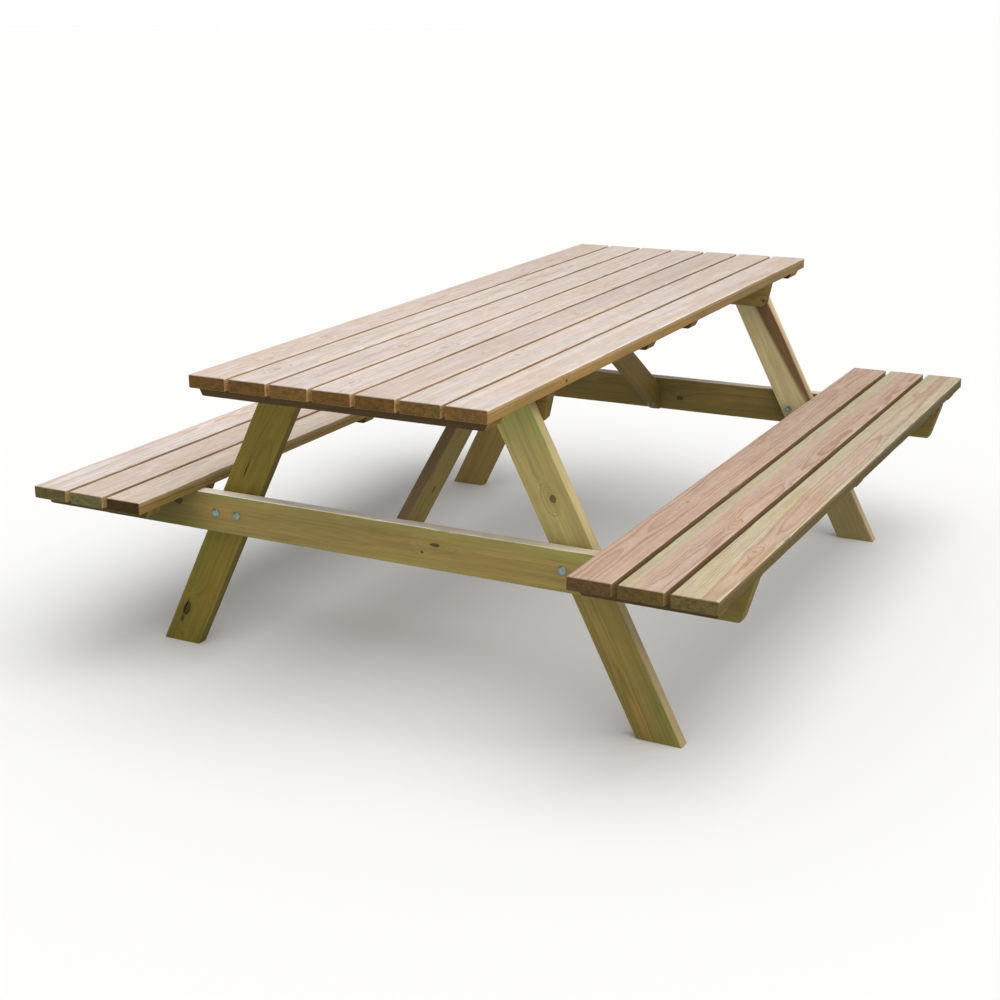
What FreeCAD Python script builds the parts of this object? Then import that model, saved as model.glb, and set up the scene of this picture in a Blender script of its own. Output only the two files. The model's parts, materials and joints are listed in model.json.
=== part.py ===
import FreeCAD, Part
import Sketcher
import os
from FreeCAD import Vector

# Timber picnic table with two attached bench seats, in millimetres, +Z up.
# The ground is Z = 0 and the origin lies under the middle of the tabletop.
# Boards of the tabletop and the seats run along Y; the crossbeams run along X.

doc = FreeCAD.newDocument("picnic_table")
sheet = doc.addObject("Spreadsheet::Sheet", "dim")

DIMENSIONS = [
    ("table_height", 750.0, "ground to tabletop surface"),
    ("table_length", 2000.0, "length of the tabletop planks"),
    ("seat_height", 437.0, "ground to seat surface"),
    ("seat_length", 1990.0, "length of the seat planks"),
    ("seat_inner", 526.0, "centre line of the table to the inner edge of a seat"),
    ("plank_width", 95.0, "planed width of all tabletop and seat planks"),
    ("plank_thick", 29.0, "planed thickness of the planks"),
    ("table_gap", 9.5, "gap between tabletop planks"),
    ("seat_gap", 13.0, "gap between seat planks"),
    ("plank_round", 3.5, "rounded long edges of the planks"),
    ("frame_thick", 30.0, "thickness of legs, crossbeams, rails and braces"),
    ("frame_round", 2.5, "rounded long edges of the frame timbers"),
    ("beam_depth", 95.0, "height of a crossbeam"),
    ("beam_face", 783.0, "centre of the table to the outer face of a crossbeam"),
    ("beam_low_half", 808.0, "half length of a crossbeam along its lower edge"),
    ("beam_corner", 9.0, "rounding of the lower corners of a crossbeam"),
    ("leg_foot", 681.0, "centre line to the outer edge of a leg on the ground"),
    ("leg_head", 318.0, "centre line to the outer edge of a leg under the planks"),
    ("leg_span", 104.0, "leg width measured along the ground"),
    ("rail_depth", 65.0, "height of a top rail"),
    ("rail_half", 358.0, "half length of a top rail along its upper edge"),
    ("rail_slant", 12.0, "how far the ends of a top rail slope in"),
    ("rail_clip", 10.0, "clipped lower corners of a top rail"),
    ("batten_thick", 20.0, "thickness of all battens"),
    ("wide_batten", 65.0, "width of the tabletop end battens"),
    ("slim_batten", 45.0, "width of all other battens"),
    ("batten_slant", 10.0, "how far the ends of a batten slope in"),
    ("batten_corner", 5.0, "rounding of the lower corners of a batten"),
    ("table_batten_half", 352.0, "half length of a tabletop batten on top"),
    ("seat_batten_half", 150.0, "half length of a seat batten on top"),
    ("end_batten_at", 946.5, "centre of the table to the tabletop end battens"),
    ("mid_batten_at", 139.0, "centre of the table to the tabletop middle battens"),
    ("seat_end_at", 936.0, "centre of the table to the seat end battens"),
    ("brace_width", 65.0, "width of a diagonal brace"),
    ("brace_tilt", 34.0, "degrees a brace rises from level"),
    ("brace_low", 307.0, "height where the lower edge meets the crossbeam"),
    ("brace_bite", 40.0, "timber passed by a brace screw before its seat"),
    ("brace_screw_gap", 14.0, "distance between the two screws of a brace end"),
    ("bolt_dia", 8.0, "carriage bolt shank"),
    ("bolt_hole", 9.0, "bolt hole in the timber"),
    ("bolt_cap", 20.6, "dome head across"),
    ("bolt_cap_high", 4.6, "dome head height"),
    ("bolt_long", 73.0, "bolt length under the head"),
    ("bolt_pitch", 60.0, "distance between the two bolts of a leg"),
    ("washer_dia", 21.0, "washer across"),
    ("washer_thick", 1.6, "washer thickness"),
    ("nut_flats", 13.0, "nut across flats"),
    ("nut_high", 6.5, "nut height"),
    ("screw_dia", 5.0, "wood screw shank"),
    ("screw_cap", 9.0, "countersunk head across"),
    ("screw_tip", 5.0, "length of the pointed tip"),
    ("plank_screw", 40.0, "screw length, battens to planks"),
    ("screw_pair", 36.0, "distance between the two screws of a plank"),
    ("rail_screw", 85.0, "screw length, top rail to planks"),
    ("head_screw", 53.0, "screw length, leg to top rail"),
    ("head_screw_pair", 44.0, "distance between the screws at a leg head"),
    ("head_screw_drop", 21.0, "planks down to the leg head screws"),
    ("beam_screw", 70.0, "screw length, seat batten to crossbeam"),
    ("brace_screw", 60.0, "screw length at the ends of a brace"),
]
sheet.set("A1", "name")
sheet.set("B1", "value")
sheet.set("C1", "meaning")
for row, (alias, value, meaning) in enumerate(DIMENSIONS, start=2):
    sheet.set("A%d" % row, alias)
    sheet.set("B%d" % row, str(value))
    sheet.set("C%d" % row, meaning)
    sheet.setAlias("B%d" % row, alias)
doc.recompute()

# Derived lengths used in several places, written once as expressions.
PLANK_PITCH = "(dim.plank_width + dim.table_gap)"
SEAT_PITCH = "(dim.plank_width + dim.seat_gap)"
SEAT_MIDDLE = "(dim.seat_inner + 1.5 * dim.plank_width + dim.seat_gap)"
SEAT_OUTER = "(dim.seat_inner + 3 * dim.plank_width + 2 * dim.seat_gap)"
TABLE_UNDER = "(dim.table_height - dim.plank_thick)"
SEAT_UNDER = "(dim.seat_height - dim.plank_thick)"
BEAM_LOW = "(%s - dim.beam_depth)" % SEAT_UNDER
BEAM_MID = "(%s - dim.beam_depth / 2)" % SEAT_UNDER
BEAM_AT = "(dim.beam_face - dim.frame_thick / 2)"
BEAM_INNER = "(dim.beam_face - dim.frame_thick)"
LEG_AT = "(dim.beam_face - 1.5 * dim.frame_thick)"
LEG_INNER = "(dim.beam_face - 2 * dim.frame_thick)"
RAIL_AT = "(dim.beam_face - 2.5 * dim.frame_thick)"
LEG_SLOPE = "((dim.leg_foot - dim.leg_head) / %s)" % TABLE_UNDER
LEG_BOLT_X = "(dim.leg_foot - dim.leg_span / 2 - %s * %s)" % (LEG_SLOPE, BEAM_MID)
HEAD_SCREW_Z = "(%s - dim.head_screw_drop)" % TABLE_UNDER
HEAD_SCREW_X = "(dim.leg_foot - dim.leg_span / 2 - %s * %s)" % (LEG_SLOPE, HEAD_SCREW_Z)
SEAT_BEAM_AT = "(%s - dim.slim_batten / 2)" % BEAM_INNER
BRACE_TAN = "tan(dim.brace_tilt * 1 deg)"
BRACE_COS = "cos(dim.brace_tilt * 1 deg)"
BRACE_TIP = "(dim.mid_batten_at + dim.slim_batten / 2)"
BRACE_END_Z = "(dim.brace_low + dim.brace_bite * %s)" % BRACE_TAN
BRACE_MEET = "(%s - (%s - dim.brace_low) / %s)" % (BEAM_INNER, TABLE_UNDER, BRACE_TAN)
BRACE_TOP_Y = "(%s + dim.brace_bite / %s)" % (BRACE_MEET, BRACE_TAN)


def number(expression):
    """Present value of a dimension expression, used as the first guess of a sketch."""
    result = sheet.evalExpression(expression)
    return float(getattr(result, "Value", result))


def new_body(name):
    body = doc.addObject("PartDesign::Body", name)
    body.Label = name
    return body


def put(body, x="0", y="0", z="0"):
    body.setExpression("Placement.Base.x", x)
    body.setExpression("Placement.Base.y", y)
    body.setExpression("Placement.Base.z", z)


def new_sketch(body, name, role, offset=None):
    sketch = body.newObject("Sketcher::SketchObject", name)
    plane = [f for f in body.Origin.OriginFeatures if f.Role == role][0]
    sketch.AttachmentSupport = [(plane, "")]
    sketch.MapMode = "FlatFace"
    if offset:
        sketch.setExpression("AttachmentOffset.Base.z", offset)
    return sketch


def tie(sketch, kind, geometry, point, expression):
    """Dimension from the sketch origin to a point, driven by the spreadsheet."""
    rule = Sketcher.Constraint(kind, -1, 1, geometry, point, number(expression))
    index = sketch.addConstraint(rule)
    sketch.setExpression("Constraints[%d]" % index, expression)


def outline(sketch, corners):
    """Closed outline; every corner is dimensioned from the origin."""
    points = [Vector(number(u), number(v), 0) for u, v in corners]
    count = len(points)
    for i in range(count):
        sketch.addGeometry(Part.LineSegment(points[i], points[(i + 1) % count]), False)
    for i in range(count):
        sketch.addConstraint(Sketcher.Constraint("Coincident", i, 2, (i + 1) % count, 1))
    for i, (u, v) in enumerate(corners):
        tie(sketch, "DistanceX", i, 1, u)
        tie(sketch, "DistanceY", i, 1, v)


def circles(sketch, centres, diameter):
    """Circles of one diameter at dimensioned centres."""
    for u, v in centres:
        centre = Vector(number(u), number(v), 0)
        circle = Part.Circle(centre, Vector(0, 0, 1), number(diameter) / 2)
        index = sketch.addGeometry(circle, False)
        tie(sketch, "DistanceX", index, 3, u)
        tie(sketch, "DistanceY", index, 3, v)
        rule = Sketcher.Constraint("Diameter", index, number(diameter))
        sketch.setExpression("Constraints[%d]" % sketch.addConstraint(rule), diameter)


def pad(body, sketch, length, symmetric=True, flip=False):
    feature = body.newObject("PartDesign::Pad", sketch.Name + "_pad")
    feature.Profile = sketch
    feature.setExpression("Length", length)
    if symmetric:
        feature.SideType = "Symmetric"
    feature.Reversed = flip
    doc.recompute()
    return feature


def drill(body, sketch, depth=None, flip=False):
    """Pocket the sketch: blind when a depth is given, else right through."""
    before = body.Tip.Shape.Volume
    feature = body.newObject("PartDesign::Pocket", sketch.Name + "_pocket")
    feature.Profile = sketch
    feature.Reversed = flip
    if depth:
        feature.setExpression("Length", depth)
    else:
        feature.Type = "ThroughAll"
        feature.SideType = "Symmetric"
    doc.recompute()
    if not feature.Shape.Volume < before - 0.5:
        raise RuntimeError("%s removed no material" % feature.Name)
    return feature


def dress(body, kind, name, pick, expression):
    """Fillet or chamfer on the edges of the present shape chosen by pick."""
    base = body.Tip
    names = ["Edge%d" % (i + 1) for i, edge in enumerate(base.Shape.Edges) if pick(edge)]
    feature = body.newObject("PartDesign::" + kind, name)
    feature.Base = (base, names)
    feature.setExpression("Radius" if kind == "Fillet" else "Size", expression)
    doc.recompute()
    return feature


def straight(edge):
    return edge.Curve.TypeId == "Part::GeomLine"


def along(edge, axis):
    """True for a straight edge parallel to the given axis."""
    return straight(edge) and abs(edge.Curve.Direction.dot(axis)) > 0.999


def hole_rim(axis, level, diameter):
    """Picks the circular rims of holes of one diameter lying at one level of an axis."""
    def pick(edge):
        if edge.Curve.TypeId != "Part::GeomCircle":
            return False
        if abs(edge.Curve.Radius - number(diameter) / 2) > 0.01:
            return False
        return abs(edge.Curve.Center.dot(axis) - level) < 0.01
    return pick


X_AXIS = Vector(1, 0, 0)
Y_AXIS = Vector(0, 1, 0)
Z_AXIS = Vector(0, 0, 1)
COUNTERSINK = "(dim.screw_cap - dim.screw_dia) / 2"


# ---------------------------------------------------------------- planks
def make_plank(name, length, x, top, battens, extra=()):
    """Planed board with rounded long edges and blind pilot holes from below."""
    body = new_body(name)
    profile = new_sketch(body, name + "_profile", "XZ_Plane")
    half = "dim.plank_width / 2"
    outline(profile, [("-" + half, "0"), (half, "0"), (half, "dim.plank_thick"),
                      ("-" + half, "dim.plank_thick")])
    pad(body, profile, length)
    dress(body, "Fillet", name + "_rounding", lambda e: along(e, Y_AXIS), "dim.plank_round")
    holes = new_sketch(body, name + "_pilots", "XY_Plane")
    spots = []
    for y in battens:
        spots.append(("-dim.screw_pair / 2", y))
        spots.append(("dim.screw_pair / 2", y))
    spots.extend(extra)
    circles(holes, spots, "dim.screw_dia")
    drill(body, holes, "dim.plank_screw - dim.batten_thick", flip=True)
    put(body, x=x, z="%s - dim.plank_thick" % top)
    return body


TABLE_BATTENS = ["-dim.end_batten_at", "-dim.mid_batten_at",
                 "dim.mid_batten_at", "dim.end_batten_at"]
SEAT_BATTENS = ["-dim.seat_end_at", "-" + SEAT_BEAM_AT, "0", SEAT_BEAM_AT, "dim.seat_end_at"]
RAIL_SPOTS = [("0", "-" + RAIL_AT), ("0", RAIL_AT)]
BRACE_SPOTS = []
for side in ("-", ""):
    for half in ("-", ""):
        BRACE_SPOTS.append((half + "dim.brace_screw_gap / 2", side + BRACE_TOP_Y))

parts = []
for i in range(7):
    spots = RAIL_SPOTS + (BRACE_SPOTS if i == 3 else [])
    parts.append(make_plank("tabletop_plank_%d" % (i + 1), "dim.table_length",
                            "%d * %s" % (i - 3, PLANK_PITCH), "dim.table_height",
                            TABLE_BATTENS, spots))

for side, sign in (("left", "-"), ("right", "")):
    for i, place in enumerate(("inner", "middle", "outer")):
        centre = "%s(dim.seat_inner + dim.plank_width / 2 + %d * %s)" % (sign, i, SEAT_PITCH)
        parts.append(make_plank("%s_seat_plank_%s" % (side, place), "dim.seat_length",
                                centre, "dim.seat_height", SEAT_BATTENS))


# ---------------------------------------------------------------- battens
def make_batten(name, half, width, spots, x, y, under, side_holes=None):
    """Flat batten with sloping ends, screwed up into the planks above it."""
    body = new_body(name)
    profile = new_sketch(body, name + "_profile", "XZ_Plane")
    low = "(%s - dim.batten_slant)" % half
    outline(profile, [("-" + low, "0"), (low, "0"), (half, "dim.batten_thick"),
                      ("-" + half, "dim.batten_thick")])
    pad(body, profile, width)
    dress(body, "Fillet", name + "_corners",
          lambda e: along(e, Y_AXIS) and e.CenterOfMass.z < 0.01, "dim.batten_corner")
    holes = new_sketch(body, name + "_holes", "XY_Plane")
    circles(holes, spots, "dim.screw_dia")
    drill(body, holes)
    dress(body, "Chamfer", name + "_countersinks",
          hole_rim(Z_AXIS, 0.0, "dim.screw_dia"), COUNTERSINK)
    if side_holes:
        across = new_sketch(body, name + "_side_holes", "XZ_Plane")
        circles(across, side_holes[0], "dim.screw_dia")
        drill(body, across)
        face = side_holes[1] * number(width) / 2
        dress(body, "Chamfer", name + "_side_sinks",
              hole_rim(Y_AXIS, face, "dim.screw_dia"), COUNTERSINK)
    put(body, x=x, y=y, z="%s - dim.batten_thick" % under)
    return body


table_spots = []
for i in range(7):
    for half in ("-", "+"):
        table_spots.append(("%d * %s %s dim.screw_pair / 2" % (i - 3, PLANK_PITCH, half), "0"))
seat_spots = []
for i in range(3):
    for half in ("-", "+"):
        seat_spots.append(("%d * %s %s dim.screw_pair / 2" % (i - 1, SEAT_PITCH, half), "0"))
BATTEN_MID = "dim.batten_thick / 2"
seat_side_spots = [("-%s / 2" % SEAT_PITCH, BATTEN_MID), ("%s / 2" % SEAT_PITCH, BATTEN_MID)]

for place, width, y in (("end_batten_front", "dim.wide_batten", TABLE_BATTENS[0]),
                        ("middle_batten_front", "dim.slim_batten", TABLE_BATTENS[1]),
                        ("middle_batten_rear", "dim.slim_batten", TABLE_BATTENS[2]),
                        ("end_batten_rear", "dim.wide_batten", TABLE_BATTENS[3])):
    parts.append(make_batten("tabletop_" + place, "dim.table_batten_half", width,
                             table_spots, "0", y, TABLE_UNDER))

for side, sign in (("left", "-"), ("right", "")):
    for place, y, face in (("end_batten_front", SEAT_BATTENS[0], 0),
                           ("beam_batten_front", SEAT_BATTENS[1], 1),
                           ("middle_batten", SEAT_BATTENS[2], 0),
                           ("beam_batten_rear", SEAT_BATTENS[3], -1),
                           ("end_batten_rear", SEAT_BATTENS[4], 0)):
        across = (seat_side_spots, face) if face else None
        parts.append(make_batten("%s_seat_%s" % (side, place), "dim.seat_batten_half",
                                 "dim.slim_batten", seat_spots, sign + SEAT_MIDDLE, y,
                                 SEAT_UNDER, across))


# ---------------------------------------------------------------- frame timbers
def soften_long_edges(body, direction):
    dress(body, "Fillet", body.Name + "_rounding", lambda e: along(e, direction),
          "dim.frame_round")


def bolt_spots(sign):
    spots = []
    for half in ("-", "+"):
        spots.append(("%s(%s %s dim.bolt_pitch / 2)" % (sign, LEG_BOLT_X, half), BEAM_MID))
    return spots


def head_spots(sign):
    spots = []
    for half in ("-", "+"):
        x = "%s(%s %s dim.head_screw_pair / 2)" % (sign, HEAD_SCREW_X, half)
        spots.append((x, HEAD_SCREW_Z))
    return spots


for end, toward in (("front", "-"), ("rear", "")):
    outward = -1 if end == "front" else 1

    # Crossbeam: bolted outside the legs, carries both seats.
    name = "crossbeam_" + end
    body = new_body(name)
    profile = new_sketch(body, name + "_profile", "XZ_Plane")
    outline(profile, [("-dim.beam_low_half", BEAM_LOW), ("dim.beam_low_half", BEAM_LOW),
                      (SEAT_OUTER, SEAT_UNDER), ("-" + SEAT_OUTER, SEAT_UNDER)])
    pad(body, profile, "dim.frame_thick")
    low_edge = number(BEAM_LOW)
    dress(body, "Fillet", name + "_corners",
          lambda e: along(e, Y_AXIS) and abs(e.CenterOfMass.z - low_edge) < 0.01,
          "dim.beam_corner")
    soften_long_edges(body, X_AXIS)
    holes = new_sketch(body, name + "_bolt_holes", "XZ_Plane")
    circles(holes, bolt_spots("-") + bolt_spots(""), "dim.bolt_hole")
    drill(body, holes)
    inner_face = "-dim.frame_thick / 2" if end == "front" else "dim.frame_thick / 2"
    pilots = new_sketch(body, name + "_seat_pilots", "XZ_Plane", inner_face)
    spots = []
    for sign in ("-", ""):
        for half in ("-", "+"):
            x = "%s(%s %s %s / 2)" % (sign, SEAT_MIDDLE, half, SEAT_PITCH)
            spots.append((x, "%s - %s" % (SEAT_UNDER, BATTEN_MID)))
    circles(pilots, spots, "dim.screw_dia")
    drill(body, pilots, "dim.beam_screw - dim.slim_batten", flip=(end == "front"))
    pilots = new_sketch(body, name + "_brace_pilots", "XZ_Plane", inner_face)
    circles(pilots, [("-dim.brace_screw_gap / 2", BRACE_END_Z),
                     ("dim.brace_screw_gap / 2", BRACE_END_Z)], "dim.screw_dia")
    drill(body, pilots, "dim.brace_screw - dim.brace_bite", flip=(end == "front"))
    put(body, y=toward + BEAM_AT)
    parts.append(body)

    # Top rail: on edge under the planks, inside the legs.
    name = "top_rail_" + end
    body = new_body(name)
    profile = new_sketch(body, name + "_profile", "XZ_Plane")
    rail_low = "(%s - dim.rail_depth)" % TABLE_UNDER
    side = "(dim.rail_half - dim.rail_slant)"
    foot = "(dim.rail_half - dim.rail_slant - dim.rail_clip)"
    shoulder = "(%s + dim.rail_clip)" % rail_low
    outline(profile, [("-" + foot, rail_low), (foot, rail_low), (side, shoulder),
                      ("dim.rail_half", TABLE_UNDER), ("-dim.rail_half", TABLE_UNDER),
                      ("-" + side, shoulder)])
    pad(body, profile, "dim.frame_thick")
    soften_long_edges(body, X_AXIS)
    holes = new_sketch(body, name + "_screw_holes", "XY_Plane", rail_low)
    circles(holes, [("%d * %s" % (i - 3, PLANK_PITCH), "0") for i in range(7)],
            "dim.screw_dia")
    drill(body, holes)
    dress(body, "Chamfer", name + "_countersinks",
          hole_rim(Z_AXIS, number(rail_low), "dim.screw_dia"), COUNTERSINK)
    outer_face = "dim.frame_thick / 2" if end == "front" else "-dim.frame_thick / 2"
    pilots = new_sketch(body, name + "_leg_pilots", "XZ_Plane", outer_face)
    circles(pilots, head_spots("-") + head_spots(""), "dim.screw_dia")
    drill(body, pilots, "dim.head_screw - dim.frame_thick", flip=(end == "rear"))
    put(body, y=toward + RAIL_AT)
    parts.append(body)

    # Legs: splayed pair between crossbeam and top rail.
    for side_name, sign in (("left", "-"), ("right", "")):
        name = "%s_leg_%s" % (side_name, end)
        body = new_body(name)
        profile = new_sketch(body, name + "_profile", "XZ_Plane")
        outline(profile, [
            (sign + "(dim.leg_foot - dim.leg_span)", "0"), (sign + "dim.leg_foot", "0"),
            (sign + "dim.leg_head", TABLE_UNDER),
            (sign + "(dim.leg_head - dim.leg_span)", TABLE_UNDER)])
        pad(body, profile, "dim.frame_thick")
        lean = -number("dim.leg_foot - dim.leg_head") * (-1 if sign else 1)
        run = Vector(lean, 0, number(TABLE_UNDER)).normalize()
        soften_long_edges(body, run)
        holes = new_sketch(body, name + "_bolt_holes", "XZ_Plane")
        circles(holes, bolt_spots(sign), "dim.bolt_hole")
        drill(body, holes)
        holes = new_sketch(body, name + "_screw_holes", "XZ_Plane")
        circles(holes, head_spots(sign), "dim.screw_dia")
        drill(body, holes)
        dress(body, "Chamfer", name + "_countersinks",
              hole_rim(Y_AXIS, outward * number("dim.frame_thick / 2"), "dim.screw_dia"),
              COUNTERSINK)
        put(body, y=toward + LEG_AT)
        parts.append(body)

    # Diagonal brace: crossbeam to the middle of the tabletop.
    name = "diagonal_brace_" + end
    body = new_body(name)
    profile = new_sketch(body, name + "_profile", "YZ_Plane")
    drop = "(dim.brace_width / %s)" % BRACE_COS
    trim = "(%s - (%s - dim.brace_low) / %s)" % (BEAM_INNER, BEAM_LOW, BRACE_TAN)
    rise_tip = "(dim.brace_low + (%s - %s) * %s)" % (BEAM_INNER, BRACE_TIP, BRACE_TAN)
    high = "(dim.brace_low + %s)" % drop
    shoulder = "(%s - (%s - %s) / %s)" % (BEAM_INNER, TABLE_UNDER, high, BRACE_TAN)
    outline(profile, [(toward + BEAM_INNER, BEAM_LOW), (toward + trim, BEAM_LOW),
                      (toward + BRACE_TIP, rise_tip), (toward + BRACE_TIP, TABLE_UNDER),
                      (toward + shoulder, TABLE_UNDER), (toward + BEAM_INNER, high)])
    pad(body, profile, "dim.frame_thick")
    run = Vector(0, -outward * number(BRACE_COS), number("sin(dim.brace_tilt * 1 deg)"))
    soften_long_edges(body, run)
    pair = ["-dim.brace_screw_gap / 2", "dim.brace_screw_gap / 2"]
    cone = "(%s)" % COUNTERSINK
    # Screws at the foot of the brace run level into the crossbeam.
    seat_plane = "(%s - dim.brace_bite)" % BEAM_INNER
    flat = "-%s" % seat_plane if end == "rear" else seat_plane
    holes = new_sketch(body, name + "_foot_holes", "XZ_Plane", flat)
    circles(holes, [(x, BRACE_END_Z) for x in pair], "dim.screw_dia")
    drill(body, holes, "dim.brace_bite + 10", flip=(end == "front"))
    floor = "%s + %s" % (seat_plane, cone)
    flat = "-(%s)" % floor if end == "rear" else floor
    holes = new_sketch(body, name + "_foot_recess", "XZ_Plane", flat)
    circles(holes, [(x, BRACE_END_Z) for x in pair], "dim.screw_cap")
    drill(body, holes, "dim.brace_bite / 2", flip=(end == "rear"))
    # Screws at the head of the brace run straight up into the middle plank.
    seat_level = "(%s - dim.brace_bite)" % TABLE_UNDER
    holes = new_sketch(body, name + "_head_holes", "XY_Plane", seat_level)
    circles(holes, [(x, toward + BRACE_TOP_Y) for x in pair], "dim.screw_dia")
    drill(body, holes, "dim.brace_bite + 10", flip=True)
    holes = new_sketch(body, name + "_head_recess", "XY_Plane",
                       "%s + %s" % (seat_level, cone))
    circles(holes, [(x, toward + BRACE_TOP_Y) for x in pair], "dim.screw_cap")
    drill(body, holes, "dim.brace_bite / 2")
    parts.append(body)


# ---------------------------------------------------------------- fasteners
def turned(body, name, role, place, outline_points, dome=None):
    """Revolved fastener whose axis is the upright axis of its own sketch."""
    sketch = new_sketch(body, name + "_profile", role)
    for key, expression in zip(("x", "y", "z"), place):
        sketch.setExpression("AttachmentOffset.Base." + key, expression)
    if dome:
        domed_outline(sketch, outline_points)
    else:
        outline(sketch, outline_points)
    feature = body.newObject("PartDesign::Revolution", name)
    feature.Profile = sketch
    feature.ReferenceAxis = (sketch, ["V_Axis"])
    feature.Angle = 360
    doc.recompute()
    return feature


def domed_outline(sketch, corners):
    """Outline whose last corner meets the first through an arc centred on the axis."""
    points = [Vector(number(u), number(v), 0) for u, v in corners]
    last = len(points) - 1
    for i in range(last):
        sketch.addGeometry(Part.LineSegment(points[i], points[i + 1]), False)
    rim = points[0]
    apex = points[last]
    rise = rim.y - apex.y
    radius = (rim.x ** 2 + rise ** 2) / (2 * rise)
    middle = Vector(0, apex.y + radius, 0)
    turn = Vector(rim.x / 2, 0, 0)
    turn.y = middle.y - (radius ** 2 - turn.x ** 2) ** 0.5
    arc = sketch.addGeometry(Part.Arc(apex, turn, rim), False)
    for i in range(last - 1):
        sketch.addConstraint(Sketcher.Constraint("Coincident", i, 2, i + 1, 1))
    for i, (u, v) in enumerate(corners[:-1]):
        tie(sketch, "DistanceX", i, 1, u)
        tie(sketch, "DistanceY", i, 1, v)
    tie(sketch, "DistanceX", last - 1, 2, corners[-1][0])
    tie(sketch, "DistanceY", last - 1, 2, corners[-1][1])
    sketch.addConstraint(Sketcher.Constraint("Coincident", last - 1, 2, arc, 1))
    sketch.addConstraint(Sketcher.Constraint("Coincident", 0, 1, arc, 2))
    sketch.addConstraint(Sketcher.Constraint("PointOnObject", arc, 3, -2))


def repeat(body, name, originals, rows, mirrors):
    """Repeat features in rows of (axis, span, count) and across origin planes."""
    origin = {f.Role: f for f in body.Origin.OriginFeatures}
    group = body.newObject("PartDesign::MultiTransform", name)
    group.Originals = originals
    steps = []
    for i, (axis, span, count) in enumerate(rows):
        row = body.newObject("PartDesign::LinearPattern", "%s_row_%d" % (name, i + 1))
        row.Direction = (origin[axis], [""])
        row.setExpression("Length", span)
        row.Occurrences = count
        steps.append(row)
    for role in mirrors:
        mirror = body.newObject("PartDesign::Mirrored", "%s_%s" % (name, role[:2]))
        mirror.MirrorPlane = (origin[role], [""])
        steps.append(mirror)
    group.Transformations = steps
    body.Tip = group
    doc.recompute()
    return group


def screw_outline(length):
    neck = "(dim.screw_cap - dim.screw_dia) / 2"
    return [("0", "0"), ("dim.screw_cap / 2", "0"), ("dim.screw_dia / 2", neck),
            ("dim.screw_dia / 2", "%s - dim.screw_tip" % length), ("0", length)]


def upright(x, y, z):
    """Offset of an XZ sketch that stands a fastener at x, y with its head at z."""
    return (x, z, "-(%s)" % y)


def check_count(body, count):
    found = len(body.Shape.Solids)
    if found != count:
        raise RuntimeError("%s has %d solids, not %d" % (body.Label, found, count))
    parts.append(body)


body = new_body("tabletop_batten_screws")
first = turned(body, "tabletop_screw", "XZ_Plane",
               upright("-3 * %s - dim.screw_pair / 2" % PLANK_PITCH, "-dim.end_batten_at",
                       "%s - dim.batten_thick" % TABLE_UNDER),
               screw_outline("dim.plank_screw"))
repeat(body, "tabletop_screw_set", [first],
       [("X_Axis", "dim.screw_pair", 2), ("X_Axis", "6 * " + PLANK_PITCH, 7),
        ("Y_Axis", "dim.end_batten_at - dim.mid_batten_at", 2)], ["XZ_Plane"])
check_count(body, 56)

body = new_body("seat_batten_screws")
first_x = "%s - %s - dim.screw_pair / 2" % (SEAT_MIDDLE, SEAT_PITCH)
head_z = "%s - dim.batten_thick" % SEAT_UNDER
first = turned(body, "seat_screw", "XZ_Plane", upright(first_x, "-dim.seat_end_at", head_z),
               screw_outline("dim.plank_screw"))
across_seat = [("X_Axis", "dim.screw_pair", 2), ("X_Axis", "2 * " + SEAT_PITCH, 3)]
repeat(body, "seat_screw_ends", [first],
       across_seat + [("Y_Axis", "dim.seat_end_at - " + SEAT_BEAM_AT, 2)],
       ["YZ_Plane", "XZ_Plane"])
centre = turned(body, "seat_centre_screw", "XZ_Plane", upright(first_x, "0", head_z),
                screw_outline("dim.plank_screw"))
repeat(body, "seat_screw_centre", [centre], across_seat, ["YZ_Plane"])
check_count(body, 60)

body = new_body("top_rail_screws")
first = turned(body, "rail_screw", "XZ_Plane",
               upright("-3 * " + PLANK_PITCH, "-" + RAIL_AT,
                       "%s - dim.rail_depth" % TABLE_UNDER),
               screw_outline("dim.rail_screw"))
repeat(body, "rail_screw_set", [first], [("X_Axis", "6 * " + PLANK_PITCH, 7)], ["XZ_Plane"])
check_count(body, 14)

body = new_body("leg_head_screws")
first = turned(body, "leg_head_screw", "XY_Plane",
               (HEAD_SCREW_X + " - dim.head_screw_pair / 2", "-" + BEAM_INNER, HEAD_SCREW_Z),
               screw_outline("dim.head_screw"))
repeat(body, "leg_head_screw_set", [first], [("X_Axis", "dim.head_screw_pair", 2)],
       ["YZ_Plane", "XZ_Plane"])
check_count(body, 8)

body = new_body("seat_to_crossbeam_screws")
first = turned(body, "seat_beam_screw", "XY_Plane",
               ("%s - %s / 2" % (SEAT_MIDDLE, SEAT_PITCH),
                "%s - dim.slim_batten" % BEAM_INNER,
                "%s - dim.batten_thick / 2" % SEAT_UNDER),
               screw_outline("dim.beam_screw"))
repeat(body, "seat_beam_screw_set", [first], [("X_Axis", SEAT_PITCH, 2)],
       ["YZ_Plane", "XZ_Plane"])
check_count(body, 8)

body = new_body("diagonal_brace_screws")
foot = turned(body, "brace_foot_screw", "XY_Plane",
              ("-dim.brace_screw_gap / 2", "%s - dim.brace_bite" % BEAM_INNER, BRACE_END_Z),
              screw_outline("dim.brace_screw"))
head = turned(body, "brace_head_screw", "XZ_Plane",
              upright("-dim.brace_screw_gap / 2", BRACE_TOP_Y,
                      "%s - dim.brace_bite" % TABLE_UNDER),
              screw_outline("dim.brace_screw"))
repeat(body, "brace_screw_set", [foot, head], [("X_Axis", "dim.brace_screw_gap", 2)],
       ["XZ_Plane"])
check_count(body, 8)

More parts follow.
